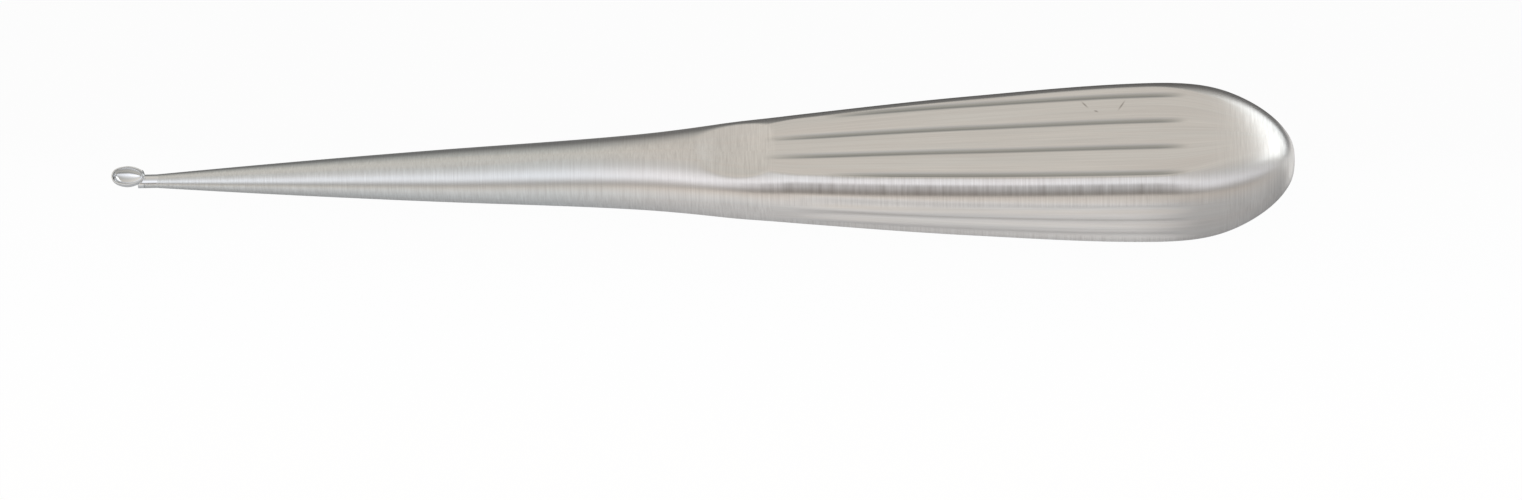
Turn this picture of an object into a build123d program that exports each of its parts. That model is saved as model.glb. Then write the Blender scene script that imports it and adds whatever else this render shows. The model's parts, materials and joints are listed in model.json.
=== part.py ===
from build123d import *
import os
from math import atan, cos, degrees, pi, radians, sin, sqrt, tan

# Bone curette, one piece of forged and ground stainless steel, in millimetres.
# It is drawn along +X, from the cup's lip at x = 0 to the butt, about the shaft's own axis.
# The bowl opens upwards. At the end the whole tool is laid down on its lower broad face.

# Overall
overall_length = 171.0

# Cup: half an ellipsoid shell, with its rim level with the rim height
cup_length = 4.6
cup_width = 3.3
cup_depth = 2.05
cup_rim_height = 1.45
cup_wall = 0.34

# Neck and round shaft
neck_x = 6.2
neck_diameter = 2.1
neck_seat = 1.1
round_x = 46.0
shaft_x = 76.0
shaft_width = 10.9
shaft_thickness = 10.7
shaft_edge = 4.95
shaft_crown_angle = 12.0
shaft_fullness = 0.25

# Handle: width, thickness and edge radius at its narrow end, its middle and the start of the butt
waist_x = 96.5
waist_width = 14.9
waist_thickness = 11.0
waist_edge = 3.9
middle_x = 124.0
middle_width = 18.9
middle_thickness = 13.3
middle_edge = 3.6
butt_length = 19.4
butt_width = 21.3
butt_thickness = 15.2
butt_edge = 3.8
face_crown_angle = 1.6
side_crown_angle = 2.5
round_crown_angle = 360 / 8 / 2

# Butt: the plan is half an ellipse, and the thickness keeps fuller before it turns over.
# Its edge grows from the handle's to this share of the section, and its faces and sides gain crown.
butt_face_power = 2.9
butt_end_edge = 0.49
butt_end_crown = 12.0

# Thumb scoops across both broad faces
scoop_x = 90.2
scoop_depth = 0.85
scoop_radius = 19.0

# Flutes along the broad faces
face_flute_count = 4
face_flute_pitch = 4.5
face_flute_depth = 0.14
face_flute_radius = 1.3
face_flute_start = 92.0
outer_flute_start = 103.0
face_flute_end = 157.0

# Flutes along the narrow sides
side_flute_count = 3
side_flute_pitch = 3.3
side_flute_depth = 0.15
side_flute_radius = 1.3
side_flute_start = 104.0
side_flute_end = 157.0

# Every flute rises out of the steel over this length at both ends, and its cutter starts just clear
flute_run_out = 11.0
flute_half_way = 0.72
flute_clearance = 0.03

# Points that draw a section: along half a face, along an edge and along half a side
face_steps = 2
edge_steps = 5
side_steps = 2

# Sections that draw the length: along the round shaft, along the handle and round the butt
shaft_steps = 8
handle_steps = 32
butt_steps = 16
last_butt_turn = 87.0
placing_accuracy = 0.01

butt_x = overall_length - butt_length


# Form of the shaft and handle along the axis

def through(x, places, values, first_slope, last_slope):
    """A smooth curve through the values at these places, with these slopes at its two ends."""
    slopes = [first_slope]
    for k in range(1, len(places) - 1):
        slopes.append((values[k + 1] - values[k - 1]) / (places[k + 1] - places[k - 1]))
    slopes.append(last_slope)
    k = 0
    while k < len(places) - 2 and x > places[k + 1]:
        k += 1
    span = places[k + 1] - places[k]
    t = (x - places[k]) / span
    return (
        values[k] * (1 + 2 * t) * (1 - t) ** 2
        + values[k + 1] * t * t * (3 - 2 * t)
        + span * (slopes[k] * t * (1 - t) ** 2 - slopes[k + 1] * t * t * (1 - t))
    )


def shaft_diameter_at(x):
    """The round shaft swells gently between the neck and the hand."""
    t = (x - neck_x) / (shaft_x - neck_x)
    return neck_diameter + (shaft_width - neck_diameter) * (t + shaft_fullness * t * (1 - t))


def shaft_slope_at(x):
    t = (x - neck_x) / (shaft_x - neck_x)
    rise = (shaft_width - neck_diameter) / (shaft_x - neck_x)
    return rise * (1 + shaft_fullness * (1 - 2 * t))


handle_places = [round_x, shaft_x, waist_x, middle_x, butt_x]
round_diameter = shaft_diameter_at(round_x)
round_slope = shaft_slope_at(round_x)


def width_at(x):
    values = [round_diameter, shaft_width, waist_width, middle_width, butt_width]
    return through(x, handle_places, values, round_slope, 0.0)


def thickness_at(x):
    values = [round_diameter, shaft_thickness, waist_thickness, middle_thickness, butt_thickness]
    return through(x, handle_places, values, round_slope, 0.0)


def edge_at(x):
    """Radius of the long edges: half the diameter where the shaft is round."""
    values = [round_diameter / 2, shaft_edge, waist_edge, middle_edge, butt_edge]
    return through(x, handle_places, values, round_slope / 2, 0.0)


def crown_at(x, angle):
    """Half the angle that a broad face or side turns through: its share of a circle, then little."""
    values = [round_crown_angle, shaft_crown_angle, angle, angle, angle]
    return radians(through(x, handle_places, values, 0.0, 0.0))


# Cross-section

def arc_points(centre, radius, first, last, steps):
    """Points along an arc, at equal angles from the face's normal, without the last one."""
    angles = [first + (last - first) * k / steps for k in range(steps)]
    return [(centre[0] + radius * sin(a), centre[1] + radius * cos(a)) for a in angles]


def section(x, width, thickness, edge, face_crown, side_crown):
    """A closed outline: crowned faces and sides, tangent to the arcs of the four long edges."""
    face_share = tan(face_crown / 2)
    side_share = tan(side_crown / 2)
    edge_y = (width / 2 - edge - side_share * (thickness / 2 - edge)) / (1 - face_share * side_share)
    edge_z = thickness / 2 - edge - face_share * edge_y
    face_radius = edge_y / sin(face_crown) + edge
    side_radius = edge_z / sin(side_crown) + edge
    quarter = arc_points((0, thickness / 2 - face_radius), face_radius, 0, face_crown, face_steps)
    quarter += arc_points((edge_y, edge_z), edge, face_crown, pi / 2 - side_crown, edge_steps)
    quarter += arc_points((width / 2 - side_radius, 0), side_radius, pi / 2 - side_crown, pi / 2, side_steps)
    quarter.append((width / 2, 0))
    half = quarter + [(y, -z) for y, z in reversed(quarter[:-1])]
    outline = half + [(-y, z) for y, z in reversed(half[1:-1])]
    stops = [k / len(outline) for k in range(len(outline) + 1)]
    points = [(x, y, z) for y, z in outline]
    return Face(Wire(Edge.make_spline(points, parameters=stops, periodic=True)))


def handle_section(x):
    if x < round_x:
        diameter = neck_diameter if x < neck_x else shaft_diameter_at(x)
        crown = radians(round_crown_angle)
        return section(x, diameter, diameter, diameter / 2, crown, crown)
    return section(
        x,
        width_at(x),
        thickness_at(x),
        edge_at(x),
        crown_at(x, face_crown_angle),
        crown_at(x, side_crown_angle),
    )


def butt_section(turn):
    """A section of the butt, at this angle round the half ellipse of its plan."""
    reach = sin(turn)
    width = butt_width * cos(turn)
    thickness = butt_thickness * (1 - reach ** butt_face_power) ** (1 / butt_face_power)
    end_edge = butt_end_edge * min(width, thickness)
    edge = butt_edge + (end_edge - butt_edge) * reach ** 2
    return section(
        butt_x + butt_length * reach,
        width,
        thickness,
        min(edge, end_edge),
        radians(face_crown_angle + butt_end_crown * reach ** 3),
        radians(side_crown_angle + butt_end_crown * reach ** 3),
    )


# Solids

def cup_shape(shrink):
    """An ellipsoid about the middle of the rim, this much smaller than the outside all round."""
    size = (cup_length / 2 - shrink, cup_width / 2 - shrink, cup_depth - shrink)
    return Pos(cup_length / 2, 0, cup_rim_height) * scale(Sphere(1), by=size)


def cup_outside():
    above_rim = Pos(cup_length / 2, 0, cup_rim_height) * Box(
        2 * cup_length, 2 * cup_width, 2 * cup_depth, align=(Align.CENTER, Align.CENTER, Align.MIN)
    )
    return cup_shape(0) - above_rim


def shank():
    """Neck, round shaft, handle and butt in one loft through their sections, with a tiny flat at the end."""
    shaft_step = (round_x - neck_x) / shaft_steps
    handle_step = (butt_x - round_x) / handle_steps
    turn_step = radians(last_butt_turn) / butt_steps
    places = [cup_length - neck_seat]
    places += [neck_x + shaft_step * k for k in range(shaft_steps)]
    places += [round_x + handle_step * k for k in range(handle_steps + 1)]
    sections = [handle_section(x) for x in places]
    sections += [butt_section(turn_step * k) for k in range(1, butt_steps + 1)]
    return loft(sections)


def face_height(x, y):
    """Height of the broad face above the axis, where it is flat and where the long edge has begun."""
    flat_half = width_at(x) / 2 - edge_at(x)
    over_edge = max(0.0, abs(y) - flat_half)
    return thickness_at(x) / 2 - edge_at(x) + sqrt(edge_at(x) ** 2 - over_edge ** 2)


def flute_cutter(start, end, radius, depth, place):
    """A round-nosed cutter's path along the surface, which sinks in after the start and rises at the end.

    place(x, lift) is the point this far above the surface.
    """
    stops = [
        (start, -flute_clearance / depth),
        (start + flute_run_out / 2, flute_half_way),
        (start + flute_run_out, 1.0),
        ((start + end) / 2, 1.0),
        (end - flute_run_out, 1.0),
        (end - flute_run_out / 2, flute_half_way),
        (end, -flute_clearance / depth),
    ]
    cutter = []
    for x, share in stops:
        across = Plane(origin=place(x, radius - share * depth), z_dir=(1, 0, 0))
        cutter.append(across * Circle(radius))
    return loft(cutter)


def face_flutes():
    cutters = []
    for k in range(face_flute_count):
        offset = face_flute_pitch * (k - (face_flute_count - 1) / 2)
        outer = k in (0, face_flute_count - 1)
        start = outer_flute_start if outer else face_flute_start
        for up in (1, -1):
            def place(x, lift):
                y = offset * width_at(min(x, butt_x)) / butt_width
                return (x, y, up * (face_height(min(x, butt_x), y) + lift))

            cutters.append(
                flute_cutter(start, face_flute_end, face_flute_radius, face_flute_depth, place)
            )
    return cutters


def side_flutes():
    cutters = []
    for k in range(side_flute_count):
        offset = side_flute_pitch * (k - (side_flute_count - 1) / 2)
        for side in (1, -1):
            def place(x, lift):
                z = offset * thickness_at(min(x, butt_x)) / butt_thickness
                return (x, side * (width_at(min(x, butt_x)) / 2 + lift), z)

            cutters.append(
                flute_cutter(side_flute_start, side_flute_end, side_flute_radius, side_flute_depth, place)
            )
    return cutters


def thumb_scoops():
    """Two crosswise cylinders that bite this deep into the broad faces."""
    height = thickness_at(scoop_x) / 2 - scoop_depth + scoop_radius
    roller = Rot(90, 0, 0) * Cylinder(scoop_radius, 2 * butt_width)
    return [Pos(scoop_x, 0, up * height) * roller for up in (1, -1)]


def laid_down(shape):
    """Turned so that it rests on the shaft's swell and on the butt, with the bowl facing up.

    The origin is then under the middle of its length, on the surface that it lies on.
    """
    drop = atan((butt_thickness - shaft_thickness) / 2 / (butt_x - shaft_x))
    turned = Rot(0, -degrees(drop), 0) * shape
    skin = turned.tessellate(placing_accuracy)[0]
    middle = (min(point.X for point in skin) + max(point.X for point in skin)) / 2
    return Pos(-middle, 0, -min(point.Z for point in skin)) * turned


curette = shank() + cup_outside() - cup_shape(cup_wall)
curette -= thumb_scoops() + face_flutes() + side_flutes()
curette = laid_down(curette)

os.makedirs("parts", exist_ok=True)
export_step(curette, "parts/curette.step")
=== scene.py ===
import bpy
import bmesh
import json
from math import atan, atan2, cos, degrees, exp, log1p, pi, radians, sin, sqrt, tan
from mathutils import Matrix, Vector

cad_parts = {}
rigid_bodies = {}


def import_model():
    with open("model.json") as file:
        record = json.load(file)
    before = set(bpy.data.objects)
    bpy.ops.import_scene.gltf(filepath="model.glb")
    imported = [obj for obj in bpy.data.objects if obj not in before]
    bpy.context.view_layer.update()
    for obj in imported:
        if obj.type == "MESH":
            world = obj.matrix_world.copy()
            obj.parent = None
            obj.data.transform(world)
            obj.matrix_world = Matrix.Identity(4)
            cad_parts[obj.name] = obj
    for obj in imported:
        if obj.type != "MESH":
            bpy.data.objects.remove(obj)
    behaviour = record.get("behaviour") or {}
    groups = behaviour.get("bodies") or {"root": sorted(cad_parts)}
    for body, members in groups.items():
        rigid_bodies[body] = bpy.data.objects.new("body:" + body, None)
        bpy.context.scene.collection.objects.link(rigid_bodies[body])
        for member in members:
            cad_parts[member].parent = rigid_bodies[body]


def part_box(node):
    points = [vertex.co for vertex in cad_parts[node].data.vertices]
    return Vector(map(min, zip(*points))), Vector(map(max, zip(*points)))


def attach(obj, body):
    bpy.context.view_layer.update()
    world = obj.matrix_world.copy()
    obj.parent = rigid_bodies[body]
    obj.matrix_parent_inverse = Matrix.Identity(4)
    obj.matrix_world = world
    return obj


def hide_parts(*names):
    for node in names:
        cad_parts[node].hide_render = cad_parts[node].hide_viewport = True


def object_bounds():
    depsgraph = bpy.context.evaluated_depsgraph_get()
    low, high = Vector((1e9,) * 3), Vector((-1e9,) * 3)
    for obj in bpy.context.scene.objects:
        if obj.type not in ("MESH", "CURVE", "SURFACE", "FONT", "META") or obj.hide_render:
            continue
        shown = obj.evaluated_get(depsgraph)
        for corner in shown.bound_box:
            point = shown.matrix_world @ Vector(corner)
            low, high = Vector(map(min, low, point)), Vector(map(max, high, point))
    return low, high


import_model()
cad_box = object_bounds()
MM = 0.001

# Photograph: image size, the object's left and right ends and its middle, in pixels
image_width = 1522
image_height = 500
photo_tip_x = 111.5
photo_butt_x = 1294.5
photo_middle_y = 163.1

# Camera: height above the table in degrees, lens and sensor in millimetres, far limit in metres
camera_elevation = 55.0
lens = 180.0
sensor = 36.0
camera_far = 20

# Form of the instrument in millimetres, along its own axis from the cup's lip at x = 0
overall_length = 171.0

# Cup: blunt at the lip, which lies cup_lip further out than x = 0, and tapered towards the neck
cup_length = 4.6
cup_width = 3.3
cup_depth = 1.9
cup_rim_height = 1.6
cup_wall = 0.34
cup_rim = 0.17
cup_bluntness = 0.25
cup_taper = 0.14
cup_lip = 0.25

# Neck and round shaft
neck_x = 6.2
neck_diameter = 2.0
neck_seat = 1.1
round_x = 46.0
shaft_x = 76.0
shaft_width = 10.75
shaft_thickness = 10.7
shaft_edge = 4.95
shaft_crown_angle = 12.0
shaft_fullness = 0.25

# Handle: width, thickness and edge radius at its narrow end, its middle and the start of the butt
waist_x = 96.5
waist_width = 15.2
waist_thickness = 11.0
waist_edge = 3.9
middle_x = 124.0
middle_width = 19.5
middle_thickness = 13.5
middle_edge = 3.6
butt_length = 19.4
butt_width = 21.6
butt_thickness = 15.6
butt_edge = 3.8
face_crown_angle = 1.6
side_crown_angle = 2.5
round_crown_angle = 22.5

# Butt: a little fuller than half an ellipse from above, and fuller still from the side
butt_plan_power = 2.15
butt_face_power = 2.9
butt_end_edge = 0.49
butt_end_crown = 12.0
butt_x = overall_length - butt_length

# Thumb scoops: barrel-shaped, soft towards the cup and crisper towards the flutes
scoop_x = 90.2
scoop_depth = 0.85
scoop_radius = 19.0
scoop_barrel = 0.012
scoop_softness_start = 0.12
scoop_softness_end = 0.03
scoop_softness_length = 5.0

# Flutes along the broad faces: towards the butt they lie a little off the middle
face_flute_count = 4
face_flute_pitch = 4.58
face_flute_shift = -0.42
flute_shift_start = 108.0
flute_shift_full = 150.0
face_flute_depth = 0.15
face_flute_half = 0.6
face_flute_start = 94.0
outer_flute_start = 103.0
face_flute_end = 155.5

# Flutes along the narrow sides
side_flute_count = 3
side_flute_pitch = 3.3
side_flute_depth = 0.3
side_flute_half = 1.35
side_flute_start = 98.0
side_flute_end = 156.5

# Every flute sinks in and rises out over these lengths, and only cuts a surface that faces its way
flute_run_in = 11.0
flute_run_out = 5.0
flute_facing = 0.7

# The broad faces are ground flat, so they meet the rounder long edges at this faint corner, in degrees
corner_angle = 26.0
corner_edge = 5.2
corner_start = 88.0
corner_full = 100.0
corner_fades = 150.0
corner_end = 163.0

# Grid of the handle's surface: points over half a broad face, a long edge and half a side
face_points = 44
edge_points = 24
side_points = 22

# Rings of the surface: from where, to where and how many, with those of the butt spaced by its turn
skin_seat_share = 0.2
skin_start = cup_length - neck_seat * skin_seat_share
ring_spans = [
    (skin_start, neck_x, 4),
    (neck_x, round_x, 22),
    (round_x, 82.0, 20),
    (82.0, 98.0, 64),
    (98.0, 140.0, 56),
    (140.0, butt_x, 20),
]
butt_rings = 44

# Finish and painted shade: where each change begins and is done, in degrees from the face's normal or
# along the axis
crosswise_edge_from = (12, 24)
crosswise_edge_to = (76, 86)
crosswise_shaft_to = (scoop_x + 4.5, scoop_x + 6.5)
crosswise_butt_from = (butt_x + 6, butt_x + 12)
# The long edges' band of coarse streaks with painted shade: its angles, then its place along the axis
shaded_streaks_angle_from = (36, 42)
shaded_streaks_angle_to = (54, 60)
shaded_streaks_from = (84, 100)
shaded_streaks_to = (150, 160)
cool_to = (62, 82)


# Form of the shaft and handle along the axis

def through(x, places, values, first_slope, last_slope):
    """A smooth curve through the values at these places, with these slopes at its two ends."""
    slopes = [first_slope]
    for k in range(1, len(places) - 1):
        slopes.append((values[k + 1] - values[k - 1]) / (places[k + 1] - places[k - 1]))
    slopes.append(last_slope)
    k = 0
    while k < len(places) - 2 and x > places[k + 1]:
        k += 1
    span = places[k + 1] - places[k]
    t = (x - places[k]) / span
    return (
        values[k] * (1 + 2 * t) * (1 - t) ** 2
        + values[k + 1] * t * t * (3 - 2 * t)
        + span * (slopes[k] * t * (1 - t) ** 2 - slopes[k + 1] * t * t * (1 - t))
    )


def shaft_diameter_at(x):
    """The round shaft swells gently between the neck and the hand."""
    t = (x - neck_x) / (shaft_x - neck_x)
    return neck_diameter + (shaft_width - neck_diameter) * (t + shaft_fullness * t * (1 - t))


def shaft_slope_at(x):
    t = (x - neck_x) / (shaft_x - neck_x)
    rise = (shaft_width - neck_diameter) / (shaft_x - neck_x)
    return rise * (1 + shaft_fullness * (1 - 2 * t))


handle_places = [round_x, shaft_x, waist_x, middle_x, butt_x]
round_diameter = shaft_diameter_at(round_x)
round_slope = shaft_slope_at(round_x)


def handle_curve(x, shaft_value, waist_value, middle_value, butt_value, share):
    """A size along the handle. It starts as this share of the round shaft's diameter."""
    values = [share * round_diameter, shaft_value, waist_value, middle_value, butt_value]
    return through(x, handle_places, values, share * round_slope, 0.0)


def crown_at(x, angle):
    """Half the angle that a broad face or side turns through: its share of a circle, then little."""
    values = [round_crown_angle, shaft_crown_angle, angle, angle, angle]
    return radians(through(x, handle_places, values, 0.0, 0.0))


def section_sizes(x):
    """Width, thickness, edge radius and the crown angles of faces and sides at this place."""
    if x <= round_x:
        diameter = neck_diameter if x <= neck_x else shaft_diameter_at(x)
        round_turn = radians(round_crown_angle)
        return diameter, diameter, diameter / 2, round_turn, round_turn
    if x <= butt_x:
        return (
            handle_curve(x, shaft_width, waist_width, middle_width, butt_width, 1),
            handle_curve(x, shaft_thickness, waist_thickness, middle_thickness, butt_thickness, 1),
            handle_curve(x, shaft_edge, waist_edge, middle_edge, butt_edge, 0.5),
            crown_at(x, face_crown_angle),
            crown_at(x, side_crown_angle),
        )
    reach = min(1.0, (x - butt_x) / butt_length)
    width = butt_width * (1 - reach ** butt_plan_power) ** (1 / butt_plan_power)
    thickness = butt_thickness * (1 - reach ** butt_face_power) ** (1 / butt_face_power)
    end_edge = butt_end_edge * min(width, thickness)
    edge = butt_edge + (end_edge - butt_edge) * reach ** 2
    return (
        width,
        thickness,
        min(edge, end_edge),
        radians(face_crown_angle + butt_end_crown * reach ** 3),
        radians(side_crown_angle + butt_end_crown * reach ** 3),
    )


# Cross-section

def eased(value, low, high):
    """A smooth rise from 0 at the low value to 1 at the high one."""
    t = max(0.0, min(1.0, (value - low) / (high - low)))
    return t * t * (3 - 2 * t)


def soft_step(value, softness):
    """The value where it is above zero, rounded into zero below."""
    return softness * log1p(exp(min(40, value / softness)))


def arc_points(centre, radius, first, last, count):
    """Points and outward normals on an arc, at angles from the face's normal, without the last one."""
    found = []
    for k in range(count):
        angle = first + (last - first) * k / count
        normal = (sin(angle), cos(angle))
        found.append((centre[0] + radius * normal[0], centre[1] + radius * normal[1], *normal))
    return found


def corner_share_at(x):
    """How much of the faint corner there is at this place."""
    rising = (x - corner_start) / (corner_full - corner_start)
    falling = (corner_end - x) / (corner_end - corner_fades)
    return eased(min(rising, falling), 0.0, 1.0)


def quarter_outline(x):
    """A quarter of the section from the middle of the broad face to the middle of the side."""
    width, thickness, edge, face_crown, side_crown = section_sizes(x)
    share = corner_share_at(x)
    start = face_crown + share * radians(corner_angle)
    end = pi / 2 - side_crown
    edge += share * max(0.0, corner_edge - edge)
    side_share = tan(side_crown / 2)
    face_share = tan(face_crown / 2)
    # The edge arc's centre: its start meets the crowned face and its end meets the crowned side
    rise = edge * (cos(start) + face_share * sin(start))
    reach = width / 2 - edge + side_share * edge
    centre_z = (thickness / 2 - rise - face_share * reach) / (1 - face_share * side_share)
    centre_y = width / 2 - edge - side_share * centre_z
    face_end = (centre_y + edge * sin(start), centre_z + edge * cos(start))
    face_radius = face_end[0] / sin(face_crown)
    face_centre = (0, face_end[1] - face_radius * cos(face_crown))
    side_radius = centre_z / sin(side_crown) + edge
    side_centre = (width / 2 - side_radius, 0)
    points = arc_points(face_centre, face_radius, 0, face_crown, face_points)
    points += arc_points((centre_y, centre_z), edge, start, end, edge_points)
    points += arc_points(side_centre, side_radius, end, pi / 2, side_points)
    points.append((width / 2, 0, 1, 0))
    return points


# Flutes and scoops

def flute_depth_at(x, start, end, depth):
    """A flute sinks into the surface after its start and rises out again before its end."""
    t = max(0.0, min(1.0, (x - start) / flute_run_in, (end - x) / flute_run_out))
    return depth * (1 - (1 - t) ** 2)


def flute_cut(offset, half, sunk):
    """How deep the steel is cut this far from the middle of a flute with soft shoulders."""
    if abs(offset) >= half:
        return 0.0
    return sunk * (0.5 + 0.5 * cos(pi * offset / half))


def face_cut(x, y, width):
    """How deep the flutes of a broad face are at this point, where the handle has this width."""
    cut = 0.0
    for k in range(face_flute_count):
        line = face_flute_pitch * (k - (face_flute_count - 1) / 2) * width / butt_width
        line += face_flute_shift * eased(x, flute_shift_start, flute_shift_full)
        start = outer_flute_start if k in (0, face_flute_count - 1) else face_flute_start
        sunk = flute_depth_at(x, start, face_flute_end, face_flute_depth)
        cut += flute_cut(y - line, face_flute_half, sunk)
    return cut


def side_cut(x, z, thickness):
    """How deep the flutes of a narrow side are at this point, where the handle has this thickness."""
    cut = 0.0
    for k in range(side_flute_count):
        line = side_flute_pitch * (k - (side_flute_count - 1) / 2) * thickness / butt_thickness
        sunk = flute_depth_at(x, side_flute_start, side_flute_end, side_flute_depth)
        cut += flute_cut(z - line, side_flute_half, sunk)
    return cut


def scoop_cut(x, y, z):
    """How deep the thumb scoops are at this point."""
    beside = abs(x - scoop_x)
    if beside >= scoop_radius / 2:
        return 0.0
    floor_height = section_sizes(scoop_x)[1] / 2 - scoop_depth + scoop_radius
    floor_height -= sqrt(scoop_radius ** 2 - beside ** 2)
    floor_height += scoop_barrel * y * y
    along = max(0.0, min(1.0, (x - scoop_x) / scoop_softness_length + 0.5))
    softness = scoop_softness_start + (scoop_softness_end - scoop_softness_start) * along
    return soft_step(abs(z) - floor_height, softness)


def carve(x, y, z, normal_y, normal_z):
    """A point after the flutes and scoops are cut into it, and its share of a face flute's depth."""
    width, thickness = section_sizes(min(x, butt_x))[:2]
    on_face = face_cut(x, y, width) if abs(normal_z) > flute_facing else 0.0
    on_side = side_cut(x, z, thickness) if abs(normal_y) > flute_facing else 0.0
    y -= (on_face + on_side) * normal_y
    z -= (on_face + on_side) * normal_z
    scooped = scoop_cut(x, y, z)
    z -= scooped if z > 0 else -scooped
    return y, z, on_face / face_flute_depth


def ring(x):
    """The whole carved outline: each point, its flute share and its angle from the face's normal."""
    quarter = quarter_outline(x)
    last = len(quarter) - 1
    found = []
    for y_side, z_side, backwards in ((1, 1, False), (1, -1, True), (-1, -1, False), (-1, 1, True)):
        for k in range(last):
            y, z, normal_y, normal_z = quarter[last - k if backwards else k]
            carved = carve(x, y * y_side, z * z_side, normal_y * y_side, normal_z * z_side)
            found.append((*carved, degrees(atan2(normal_y, normal_z))))
    return found


def stations():
    """Places of the rings: close together at the scoop, the run-outs and round the butt."""
    found = []
    for first, last, count in ring_spans:
        found += [first + (last - first) * k / count for k in range(count)]
    found += [butt_x + butt_length * sin(pi / 2 * k / butt_rings) for k in range(butt_rings)]
    return found


# Placing on the table, as it comes to rest on the shaft's swell and the butt

drop = atan((butt_thickness - shaft_thickness) / 2 / (butt_x - shaft_x))
turned = Matrix.Rotation(-drop, 4, "Y") @ Matrix.Scale(MM, 4)
cad_low, cad_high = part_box("curette")


def lay_down(vertices):
    """Turned points, moved so that the butt's end and the lowest point meet the frame's box."""
    moved = [turned @ Vector(v) for v in vertices]
    shift = Vector((cad_high[0] - max(v.x for v in moved), 0, cad_low[2] - min(v.z for v in moved)))
    return shift, [v + shift for v in moved]


# Shaft, handle and butt

def handle_object():
    """The skin from the neck to the butt, with how far it was moved to lie on the table."""
    places = stations()
    rings = [ring(x) for x in places]
    vertices = []
    finish_and_shade = []
    for x, outline in zip(places, rings):
        vertices += [(x, y, z) for y, z, share, angle in outline]
        finish_and_shade += [(x, share, angle) for y, z, share, angle in outline]
    around = len(rings[0])
    faces = []
    for i in range(len(rings) - 1):
        for k in range(around):
            a = i * around + k
            b = i * around + (k + 1) % around
            faces.append((a, b, b + around, a + around))
    first_end = len(vertices)
    vertices += [(places[0], 0, 0), (overall_length, 0, 0)]
    finish_and_shade += [(neck_x, 0.0, 90.0), (overall_length, 0.0, 90.0)]
    base = (len(rings) - 1) * around
    for k in range(around):
        follower = (k + 1) % around
        faces.append((first_end, follower, k))
        faces.append((first_end + 1, base + k, base + follower))
    shift, placed = lay_down(vertices)
    mesh = bpy.data.meshes.new("handle_and_shaft")
    mesh.from_pydata(placed, [], faces)
    piece = bpy.data.objects.new("handle_and_shaft", mesh)
    bpy.context.collection.objects.link(piece)
    mesh.shade_smooth()
    lay_map(mesh, vertices)
    mark_finish_and_shade(mesh, finish_and_shade)
    return piece, shift


# Girth of the lay map in metres
lay_girth = 0.055


def lay_map(mesh, vertices):
    """A map in metres along the instrument and round it, for the grinding lines."""
    layer = mesh.uv_layers.new(name="lay")
    around = 4 * (face_points + edge_points + side_points)
    for polygon in mesh.polygons:
        columns = [v % around for v in polygon.vertices]
        wraps = max(columns) - min(columns) > around / 2
        for loop, column in zip(polygon.loop_indices, columns):
            if wraps and column < around / 2:
                column += around
            x = vertices[mesh.loops[loop].vertex_index][0]
            layer.data[loop].uv = (x * MM, column * lay_girth / around)


def mark_finish_and_shade(mesh, finish_and_shade):
    """Where each mark is: crosswise grinding, painted shade in the flutes, coarse streaks with painted
    shade on the long edges, the cooler shaft.
    """
    marks = {"crosswise": [], "flute_shade": [], "edge_shaded_streaks": [], "cool": []}
    for x, share, angle in finish_and_shade:
        edge = eased(angle, *crosswise_edge_from) * (1 - eased(angle, *crosswise_edge_to))
        shaft = 1 - eased(x, *crosswise_shaft_to)
        butt = eased(x, *crosswise_butt_from)
        on_handle = eased(x, *shaded_streaks_from) * (1 - eased(x, *shaded_streaks_to))
        # The long edges' band, darkened with coarse streaks and painted shade
        edge_shaded_streaks = on_handle * eased(angle, *shaded_streaks_angle_from) * (1 - eased(angle, *shaded_streaks_angle_to))
        marks["crosswise"].append(max(edge, shaft, butt))
        # Painted shade in the face flutes, as deep as each flute
        marks["flute_shade"].append(share)
        marks["edge_shaded_streaks"].append(edge_shaded_streaks)
        marks["cool"].append(1 - eased(x, *cool_to))
    for name, values in marks.items():
        mesh.attributes.new(name, "FLOAT", "POINT").data.foreach_set("value", values)


# Cup, in millimetres until it is laid down with the handle

cup_segments = 96
cup_rings = 64
neck_segments = 64
neck_overlap = 0.6
neck_rod_share = 0.985
cutter_size = 10.0
cutter_shift = 3.0
skin_detail = 0.034
fillet_strength = 0.5
fillet_steps = 8


def finished_form(form, name):
    """The form as an object of this name."""
    mesh = bpy.data.meshes.new(name)
    form.to_mesh(mesh)
    form.free()
    return bpy.data.objects.new(name, mesh)


def egg(name, shrink, deeper):
    """The cup's outside or bowl: an ellipsoid, blunt at the lip and tapered towards the neck."""
    form = bmesh.new()
    bmesh.ops.create_uvsphere(form, u_segments=cup_segments, v_segments=cup_rings, radius=1.0)
    size = ((cup_length + cup_lip) / 2 - shrink, cup_width / 2 - shrink, cup_depth - shrink - deeper)
    middle = Vector(((cup_length - cup_lip) / 2, 0, cup_rim_height))
    for vertex in form.verts:
        x, y, z = vertex.co
        blunt = 1 + cup_bluntness * max(0.0, -x) ** 3 - cup_taper * max(0.0, x)
        vertex.co = Vector((x, y * blunt, z))
        vertex.co = Vector([a * b for a, b in zip(vertex.co, size)])
        vertex.co += middle
    return finished_form(form, name)


def neck_rod():
    """The start of the neck, a little thinner than the handle's skin so that it ends inside it."""
    radius = neck_diameter / 2
    form = bmesh.new()
    bmesh.ops.create_cone(
        form, cap_ends=True, segments=neck_segments, radius1=radius, radius2=radius, depth=1
    )
    first = cup_length - neck_seat
    last = neck_x + neck_overlap
    for vertex in form.verts:
        x, y, z = vertex.co
        along = first + (last - first) * (z + 0.5)
        vertex.co = Vector((along, x * neck_rod_share, y * neck_rod_share))
    bmesh.ops.recalc_face_normals(form, faces=form.faces)
    return finished_form(form, "neck")


def above_rim():
    """What is cut away above the level rim of the cup."""
    form = bmesh.new()
    bmesh.ops.create_cube(form, size=cutter_size)
    for vertex in form.verts:
        vertex.co += Vector((cup_length / 2 - cutter_shift, 0, cup_rim_height + cutter_size / 2))
    return finished_form(form, "above_rim")


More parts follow.
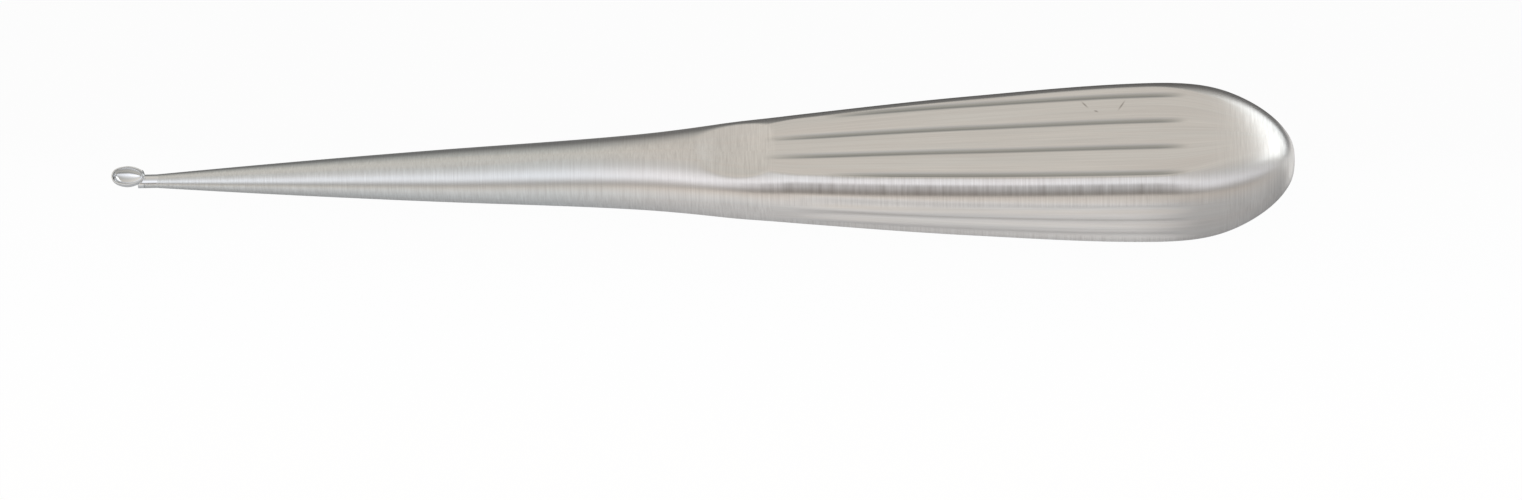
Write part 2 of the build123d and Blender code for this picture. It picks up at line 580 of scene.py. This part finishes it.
def cup_object(shift):
    """The cup with its bowl and the start of the neck, as one skin with small soft fillets."""
    cup = egg("cup", 0, 0)
    bowl = egg("bowl", cup_rim, cup_wall - cup_rim)
    tools = [(neck_rod(), "UNION"), (bowl, "DIFFERENCE"), (above_rim(), "DIFFERENCE")]
    scene_objects = bpy.context.collection.objects
    scene_objects.link(cup)
    for tool, operation in tools:
        scene_objects.link(tool)
        modifier = cup.modifiers.new(operation, "BOOLEAN")
        modifier.operation = operation
        modifier.object = tool
        modifier.solver = "EXACT"
    remesh = cup.modifiers.new("skin", "REMESH")
    remesh.mode = "VOXEL"
    remesh.voxel_size = skin_detail
    smooth = cup.modifiers.new("fillets", "SMOOTH")
    smooth.factor = fillet_strength
    smooth.iterations = fillet_steps
    bpy.context.view_layer.update()
    skin = bpy.data.meshes.new_from_object(cup.evaluated_get(bpy.context.evaluated_depsgraph_get()))
    for tool, operation in tools:
        bpy.data.objects.remove(tool)
    cup.modifiers.clear()
    for vertex in skin.vertices:
        vertex.co = turned @ vertex.co + shift
    cup.data = skin
    skin.name = "cup"
    skin.shade_smooth()
    return cup


# Shader pieces

def node(tree, kind, place, **settings):
    made = tree.nodes.new(kind)
    made.location = place
    for name, value in settings.items():
        setattr(made, name, value)
    return made


def mark_node(tree, place, name):
    """One of the handle's marks of finish and painted shade."""
    return node(tree, "ShaderNodeAttribute", place, attribute_name=name).outputs["Fac"]


def times(tree, place, first, second):
    """A product. The second factor is a number or a socket."""
    made = node(tree, "ShaderNodeMath", place, operation="MULTIPLY")
    tree.links.new(first, made.inputs[0])
    if isinstance(second, float):
        made.inputs[1].default_value = second
    else:
        tree.links.new(second, made.inputs[1])
    return made.outputs[0]


def unsigned(tree, place, value):
    """The value without its sign."""
    made = node(tree, "ShaderNodeMath", place, operation="ABSOLUTE")
    tree.links.new(value, made.inputs[0])
    return made.outputs[0]


def ranged(tree, place, value, source, result=(0.0, 1.0), way="LINEAR"):
    """A value carried over from one range to another and held at its ends."""
    made = node(tree, "ShaderNodeMapRange", place, interpolation_type=way)
    for name, number in zip(("From Min", "From Max", "To Min", "To Max"), (*source, *result)):
        made.inputs[name].default_value = number
    tree.links.new(value, made.inputs["Value"])
    return made.outputs["Result"]


def mixed(tree, place, factor, first, second):
    """Two values mixed. The factor is a number or a socket."""
    made = node(tree, "ShaderNodeMix", place)
    if isinstance(factor, float):
        made.inputs["Factor"].default_value = factor
    else:
        tree.links.new(factor, made.inputs["Factor"])
    tree.links.new(first, made.inputs["A"])
    tree.links.new(second, made.inputs["B"])
    return made.outputs["Result"]


def shaded(tree, place, share, colour, shade):
    """A colour multiplied by the shade, by this share."""
    made = node(tree, "ShaderNodeMix", place, data_type="RGBA", blend_type="MULTIPLY")
    made.inputs[7].default_value = (*shade, 1)
    tree.links.new(share, made.inputs[0])
    tree.links.new(colour, made.inputs[6])
    return made.outputs[2]


def mixed_shader(tree, place, share, first, second):
    made = node(tree, "ShaderNodeMixShader", place)
    tree.links.new(share, made.inputs[0])
    tree.links.new(first, made.inputs[1])
    tree.links.new(second, made.inputs[2])
    return made.outputs[0]


def emission(tree, place, strength):
    made = node(tree, "ShaderNodeEmission", place)
    made.inputs["Strength"].default_value = strength
    return made.outputs[0]


def ramp_node(tree, place, tones):
    """A colour ramp through the tones, which are spaced by their first values."""
    made = node(tree, "ShaderNodeValToRGB", place)
    made.color_ramp.interpolation = "EASE"
    stops = made.color_ramp.elements
    first, last = tones[0][0], tones[-1][0]
    for k, (value, colour) in enumerate(tones):
        position = (value - first) / (last - first)
        stop = stops[k] if k < 2 else stops.new(position)
        stop.position = position
        stop.color = (*colour, 1)
    return made


# Steel: grinding lines as lines per metre along the instrument and round it
fine_lines = (60.0, 5200.0)
broad_lines = (14.0, 1100.0)
crosswise_lines = (3800.0, 150.0)
streak_lines = (1000.0, 25.0)
tint_lines = (22.0, 420.0)
broad_share = 0.45

# Steel: colour and roughness from the dark lines to the light ones, and how deep the lines are in metres
lines_dark = 0.3
lines_light = 0.7
dark_steel = (0.60, 0.585, 0.565)
light_steel = (0.74, 0.73, 0.71)
dark_roughness = 0.38
light_roughness = 0.28
lines_strength = 0.2
lines_depth = 0.00002

# Steel: shades of the cooler shaft, the faint tints, the painted shade in the flutes, the coarse band
# with its painted shade and the scratches
cool_shade = (0.94, 0.98, 1.0)
tint_shade = (1.0, 0.975, 0.965)
# Painted shade of the flutes, then the coarse streaks and painted shade of the long edges' band
painted_flute_shade = (0.56, 0.58, 0.57)
shaded_streaks_colour = (0.50, 0.485, 0.47)
scratch_shade = (0.52, 0.50, 0.48)
streaks_range = (0.35, 0.65)
least_streak = 0.65

# Polished steel of the cup
polished_colour = (0.72, 0.725, 0.725)
polished_roughness = 0.12

# Faint scratches on the upper face: middle on the lay map and length in metres, and turn in degrees
scratches = [
    ((0.1461, 0.0040), 54.0, 0.0023),
    ((0.1408, 0.0044), -48.0, 0.0018),
    ((0.1424, 0.0033), -20.0, 0.0009),
]
scratch_half_width = 0.00018


def brushed_lines_group():
    """Fine grinding lines: noise drawn out one way. Along and Across are lines per metre each way."""
    tree = bpy.data.node_groups.new("grinding lines", "ShaderNodeTree")
    tree.interface.new_socket("Place", in_out="INPUT", socket_type="NodeSocketVector")
    tree.interface.new_socket("Along", in_out="INPUT", socket_type="NodeSocketFloat")
    tree.interface.new_socket("Across", in_out="INPUT", socket_type="NodeSocketFloat")
    tree.interface.new_socket("Lines", in_out="OUTPUT", socket_type="NodeSocketFloat")
    entry = node(tree, "NodeGroupInput", (-600, 0))
    exit_ = node(tree, "NodeGroupOutput", (400, 0))
    rates = node(tree, "ShaderNodeCombineXYZ", (-400, -120))
    scaled = node(tree, "ShaderNodeVectorMath", (-200, 0), operation="MULTIPLY")
    noise = node(tree, "ShaderNodeTexNoise", (0, 0))
    noise.inputs["Scale"].default_value = 1.0
    noise.inputs["Detail"].default_value = 4.0
    noise.inputs["Roughness"].default_value = 0.65
    tree.links.new(entry.outputs["Along"], rates.inputs["X"])
    tree.links.new(entry.outputs["Across"], rates.inputs["Y"])
    tree.links.new(entry.outputs["Place"], scaled.inputs[0])
    tree.links.new(rates.outputs["Vector"], scaled.inputs[1])
    tree.links.new(scaled.outputs["Vector"], noise.inputs["Vector"])
    tree.links.new(noise.outputs["Fac"], exit_.inputs["Lines"])
    return tree


def scratch_mark_group():
    """The mark of one short straight scratch, fading at its ends."""
    tree = bpy.data.node_groups.new("scratch mark", "ShaderNodeTree")
    tree.interface.new_socket("Place", in_out="INPUT", socket_type="NodeSocketVector")
    tree.interface.new_socket("Middle", in_out="INPUT", socket_type="NodeSocketVector")
    tree.interface.new_socket("Turn", in_out="INPUT", socket_type="NodeSocketVector")
    tree.interface.new_socket("Half length", in_out="INPUT", socket_type="NodeSocketFloat")
    tree.interface.new_socket("Mark", in_out="OUTPUT", socket_type="NodeSocketFloat")
    entry = node(tree, "NodeGroupInput", (-900, 0))
    exit_ = node(tree, "NodeGroupOutput", (600, 0))
    from_middle = node(tree, "ShaderNodeMapping", (-700, 0), vector_type="TEXTURE")
    axes = node(tree, "ShaderNodeSeparateXYZ", (-500, 0))
    tree.links.new(entry.outputs["Place"], from_middle.inputs["Vector"])
    tree.links.new(entry.outputs["Middle"], from_middle.inputs["Location"])
    tree.links.new(entry.outputs["Turn"], from_middle.inputs["Rotation"])
    tree.links.new(from_middle.outputs["Vector"], axes.inputs[0])
    along = unsigned(tree, (-300, 100), axes.outputs["X"])
    across = unsigned(tree, (-300, -100), axes.outputs["Y"])
    inside = node(tree, "ShaderNodeMapRange", (-100, 100), interpolation_type="SMOOTHSTEP")
    inside.inputs["To Min"].default_value = 1.0
    inside.inputs["To Max"].default_value = 0.0
    tree.links.new(entry.outputs["Half length"], inside.inputs["From Max"])
    tree.links.new(along, inside.inputs["Value"])
    near = ranged(tree, (-100, -150), across, (0.0, scratch_half_width), (1.0, 0.0), "SMOOTHSTEP")
    tree.links.new(times(tree, (300, 0), inside.outputs["Result"], near), exit_.inputs["Mark"])
    return tree


def lines_node(tree, place, rates, lay):
    """Grinding lines with these rates along and across the lay map."""
    made = node(tree, "ShaderNodeGroup", place, node_tree=lines_group)
    made.inputs["Along"].default_value, made.inputs["Across"].default_value = rates
    tree.links.new(lay, made.inputs["Place"])
    return made.outputs["Lines"]


def scratched(tree, lay, colour):
    """The colour with every scratch on it."""
    for middle, turn, length in scratches:
        mark = node(tree, "ShaderNodeGroup", (100, 700), node_tree=scratch_group)
        mark.inputs["Middle"].default_value = (*middle, 0)
        mark.inputs["Turn"].default_value = (0, 0, radians(turn))
        mark.inputs["Half length"].default_value = length / 2
        tree.links.new(lay, mark.inputs["Place"])
        colour = shaded(tree, (300, 400), mark.outputs["Mark"], colour, scratch_shade)
    return colour


def steel_colour(tree, lay, lines):
    """The steel's colour: its lines, then the shades of its places with their painted shade, then the
    scratches.
    """
    ramp = node(tree, "ShaderNodeValToRGB", (-600, 200))
    dark, light = ramp.color_ramp.elements
    dark.position = lines_dark
    dark.color = (*dark_steel, 1)
    light.position = lines_light
    light.color = (*light_steel, 1)
    tree.links.new(lines, ramp.inputs["Fac"])
    tints = ranged(tree, (-1000, -700), lines_node(tree, (-1350, -700), tint_lines, lay), streaks_range)
    streaks = lines_node(tree, (-1350, -500), streak_lines, lay)
    streaked = ranged(tree, (-900, -500), streaks, streaks_range, (least_streak, 1.0))
    # Coarse streaks and painted shade on the long edges' band
    shaded_streaks = times(tree, (-600, 600), mark_node(tree, (-900, 800), "edge_shaded_streaks"), streaked)
    cool = mark_node(tree, (-900, 1000), "cool")
    colour = shaded(tree, (-500, 400), cool, ramp.outputs["Color"], cool_shade)
    colour = shaded(tree, (-300, 400), tints, colour, tint_shade)
    # Painted shade in the flutes, darkest at their middle
    colour = shaded(tree, (-100, 400), mark_node(tree, (-900, 600), "flute_shade"), colour, painted_flute_shade)
    colour = shaded(tree, (100, 400), shaded_streaks, colour, shaded_streaks_colour)
    return scratched(tree, lay, colour)


def brushed_steel():
    """Satin steel, ground lengthwise on the broad faces and sides and crosswise elsewhere."""
    material = bpy.data.materials.new("satin steel")
    material.use_nodes = True
    tree = material.node_tree
    shader = tree.nodes["Principled BSDF"]
    shader.inputs["Metallic"].default_value = 1.0
    lay = node(tree, "ShaderNodeUVMap", (-1600, 0), uv_map="lay").outputs["UV"]
    fine = lines_node(tree, (-1350, 300), fine_lines, lay)
    broad = lines_node(tree, (-1350, 100), broad_lines, lay)
    across = lines_node(tree, (-1350, -100), crosswise_lines, lay)
    lengthwise = mixed(tree, (-1100, 200), broad_share, fine, broad)
    crosswise = mark_node(tree, (-1350, -300), "crosswise")
    lines = mixed(tree, (-900, 100), crosswise, lengthwise, across)
    roughnesses = (dark_roughness, light_roughness)
    rough = ranged(tree, (-600, -50), lines, (lines_dark, lines_light), roughnesses)
    bump = node(tree, "ShaderNodeBump", (-350, -250))
    bump.inputs["Strength"].default_value = lines_strength
    bump.inputs["Distance"].default_value = lines_depth
    tree.links.new(lines, bump.inputs["Height"])
    tree.links.new(steel_colour(tree, lay, lines), shader.inputs["Base Color"])
    tree.links.new(rough, shader.inputs["Roughness"])
    tree.links.new(bump.outputs["Normal"], shader.inputs["Normal"])
    return material


def polished_steel():
    material = bpy.data.materials.new("polished cup steel")
    material.use_nodes = True
    shader = material.node_tree.nodes["Principled BSDF"]
    shader.inputs["Metallic"].default_value = 1.0
    shader.inputs["Base Color"].default_value = (*polished_colour, 1)
    shader.inputs["Roughness"].default_value = polished_roughness
    return material


# Studio

def camera():
    """A long lens over the table, placed so that the instrument has its place in the photograph."""
    data = bpy.data.cameras.new("camera")
    data.lens = lens
    data.sensor_width = sensor
    data.clip_end = camera_far
    eye = bpy.data.objects.new("camera", data)
    bpy.context.collection.objects.link(eye)
    metres_per_pixel = overall_length * MM / (photo_butt_x - photo_tip_x)
    distance = lens / sensor * image_width * metres_per_pixel
    rise = radians(camera_elevation)
    away = Vector((0, -cos(rise), sin(rise)))
    right = Vector((1, 0, 0))
    up = right.cross(-away)
    photo_middle_x = (photo_tip_x + photo_butt_x) / 2
    target = (Vector(cad_box[0]) + Vector(cad_box[1])) / 2
    target += right * (image_width / 2 - photo_middle_x) * metres_per_pixel
    target += up * (photo_middle_y - image_height / 2) * metres_per_pixel
    eye.location = target + away * distance
    eye.rotation_euler = (-away).to_track_quat("-Z", "Y").to_euler()
    bpy.context.scene.camera = eye


# Floor: its tone at each distance behind the middle of the instrument, in metres, darker under and
# behind it as a painted shadow that the steel reflects
floor_tones = [
    (-0.080, (1.00, 0.91, 0.80)),
    (-0.045, (1.00, 0.92, 0.83)),
    (-0.030, (0.86, 0.86, 0.88)),
    (-0.018, (0.76, 0.77, 0.79)),
    (-0.011, (0.62, 0.63, 0.65)),
    (0.000, (0.50, 0.51, 0.52)),
    (0.012, (0.20, 0.20, 0.20)),
    (0.060, (0.12, 0.12, 0.12)),
]
floor_half = 6.0
paper_roughness = 0.9
floor_whiteness = 0.97

# Floor in front of the instrument: its glow in the steel, and from where to where it rises
floor_glow = 0.66
glow_start = 0.006
glow_full = -0.018

# Painted shadow on the floor beside the butt, seen only in its reflection: from where to where, and how
# much
dim_start = 0.061
dim_full = 0.074
dim_share = 0.34

# Bright patch past the butt, seen only in its reflection: along the instrument, then across it
patch_start = 0.085
patch_full = 0.093
patch_middle = 0.009
patch_half_full = 0.008
patch_half_end = 0.015
patch_glow = 0.95


def floor_material():
    """White paper to the camera. The steel sees its tones and their painted shadow, its glow, the
    painted shadow beside the butt and the patch.
    """
    material = bpy.data.materials.new("white paper")
    material.use_nodes = True
    tree = material.node_tree
    paper = tree.nodes["Principled BSDF"]
    paper.inputs["Roughness"].default_value = paper_roughness
    place = node(tree, "ShaderNodeTexCoord", (-1100, 0))
    axes = node(tree, "ShaderNodeSeparateXYZ", (-900, 0))
    tree.links.new(place.outputs["Object"], axes.inputs[0])
    along, across = axes.outputs["X"], axes.outputs["Y"]
    # Tones of the floor, darker under and behind the instrument as a painted shadow
    tone = ramp_node(tree, (-250, 0), floor_tones)
    tone_reach = ranged(tree, (-500, 0), across, (floor_tones[0][0], floor_tones[-1][0]))
    tree.links.new(tone_reach, tone.inputs["Fac"])
    tree.links.new(tone.outputs["Color"], paper.inputs["Base Color"])

    path = node(tree, "ShaderNodeLightPath", (-600, 400))
    in_steel = path.outputs["Is Glossy Ray"]
    white = emission(tree, (0, -300), 1.0)
    black = emission(tree, (300, -300), 0.0)

    seen = times(tree, (-300, 400), path.outputs["Is Camera Ray"], floor_whiteness)
    glow = ranged(tree, (-500, 200), across, (glow_start, glow_full), (0.0, floor_glow))
    share = node(tree, "ShaderNodeMath", (0, 300), operation="MAXIMUM")
    tree.links.new(seen, share.inputs[0])
    tree.links.new(times(tree, (-300, 200), glow, in_steel), share.inputs[1])
    surface = mixed_shader(tree, (300, 0), share.outputs[0], paper.outputs[0], white)

    # Painted shadow beside the butt, for the steel's reflection only
    dim = ranged(tree, (-500, -500), along, (dim_start, dim_full), (0.0, dim_share), "SMOOTHSTEP")
    surface = mixed_shader(tree, (500, 0), times(tree, (-300, -500), dim, in_steel), surface, black)

    past = ranged(tree, (-500, -800), along, (patch_start, patch_full), (0.0, patch_glow), "SMOOTHSTEP")
    off_middle = node(tree, "ShaderNodeMath", (-900, -1000), operation="SUBTRACT")
    off_middle.inputs[1].default_value = patch_middle
    tree.links.new(across, off_middle.inputs[0])
    aside = unsigned(tree, (-700, -1000), off_middle.outputs[0])
    halves = (patch_half_full, patch_half_end)
    beside = ranged(tree, (-500, -1100), aside, halves, (1.0, 0.0), "SMOOTHSTEP")
    patch = times(tree, (-100, -900), times(tree, (-300, -900), past, beside), in_steel)
    surface = mixed_shader(tree, (700, 0), patch, surface, white)
    tree.links.new(surface, tree.nodes["Material Output"].inputs["Surface"])
    return material


def floor():
    mesh = bpy.data.meshes.new("floor")
    half = floor_half
    corners = [(-half, -half, 0), (half, -half, 0), (half, half, 0), (-half, half, 0)]
    mesh.from_pydata(corners, [], [(0, 1, 2, 3)])
    table = bpy.data.objects.new("floor", mesh)
    bpy.context.collection.objects.link(table)
    table.location.z = cad_box[0][2]
    mesh.materials.append(floor_material())


# Studio air: how bright it is at each angle from overhead, towards the camera's side, in degrees
studio_air = [
    (-90, (0.19, 0.19, 0.19)),
    (-66, (0.50, 0.50, 0.48)),
    (-42, (0.80, 0.765, 0.71)),
    (-22, (0.78, 0.745, 0.70)),
    (-2, (0.70, 0.69, 0.67)),
    (12, (0.77, 0.77, 0.77)),
    (30, (1.05, 1.05, 1.09)),
    (47, (1.32, 1.35, 1.44)),
    (60, (0.92, 0.92, 0.95)),
    (70, (0.30, 0.29, 0.28)),
    (80, (0.62, 0.57, 0.52)),
    (90, (1.00, 0.91, 0.82)),
]

# Its strength from the cup's side to the butt's side
air_side = 0.8
left_strength = 1.22
right_strength = 0.78

# Panel beyond the butt: its way, distance and size in metres, its power in watts and its colour
panel_way = (0.76, 0.53, 0.37)
panel_distance = 1.2
panel_width = 1.3
panel_height = 0.9
panel_power = 5.0
panel_colour = (0.90, 0.96, 1.0)


def right_panel():
    """A rectangular lamp that faces the object."""
    data = bpy.data.lights.new("right panel", "AREA")
    data.shape = "RECTANGLE"
    data.size = panel_width
    data.size_y = panel_height
    data.energy = panel_power
    data.color = panel_colour
    lamp = bpy.data.objects.new("right panel", data)
    bpy.context.collection.objects.link(lamp)
    way = Vector(panel_way).normalized()
    lamp.location = way * panel_distance
    lamp.rotation_euler = (-way).to_track_quat("-Z", "Y").to_euler()


def studio():
    """White to the camera. The steel sees the studio air."""
    world = bpy.data.worlds.new("studio")
    bpy.context.scene.world = world
    world.use_nodes = True
    tree = world.node_tree
    air = tree.nodes["Background"]
    way = node(tree, "ShaderNodeTexCoord", (-1200, 0))
    axes = node(tree, "ShaderNodeSeparateXYZ", (-1000, 0))
    tree.links.new(way.outputs["Generated"], axes.inputs[0])
    angle = node(tree, "ShaderNodeMath", (-600, 0), operation="ARCTAN2")
    tree.links.new(times(tree, (-800, 100), axes.outputs["Y"], -1.0), angle.inputs[0])
    tree.links.new(axes.outputs["Z"], angle.inputs[1])
    angles = (radians(studio_air[0][0]), radians(studio_air[-1][0]))
    share = ranged(tree, (-400, 0), angle.outputs[0], angles)
    ramp = ramp_node(tree, (-200, 0), studio_air)
    tree.links.new(share, ramp.inputs["Fac"])
    tree.links.new(ramp.outputs["Color"], air.inputs["Color"])
    strengths = (left_strength, right_strength)
    side = ranged(tree, (-400, -200), axes.outputs["X"], (-air_side, air_side), strengths)
    tree.links.new(side, air.inputs["Strength"])
    white = node(tree, "ShaderNodeBackground", (0, -200))
    white.inputs["Color"].default_value = (1, 1, 1, 1)
    path = node(tree, "ShaderNodeLightPath", (-200, 300))
    seen = path.outputs["Is Camera Ray"]
    surface = mixed_shader(tree, (300, 0), seen, air.outputs[0], white.outputs[0])
    tree.links.new(surface, tree.nodes["World Output"].inputs["Surface"])


camera()
studio()
right_panel()
floor()
bpy.context.scene.view_settings.view_transform = "Standard"

lines_group = brushed_lines_group()
scratch_group = scratch_mark_group()
satin = brushed_steel()
polished = polished_steel()

handle, shift = handle_object()
handle.data.materials.append(satin)
cup = cup_object(shift)
cup.data.materials.clear()
cup.data.materials.append(polished)

for piece in (handle, cup):
    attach(piece, "root")
    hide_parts("curette")
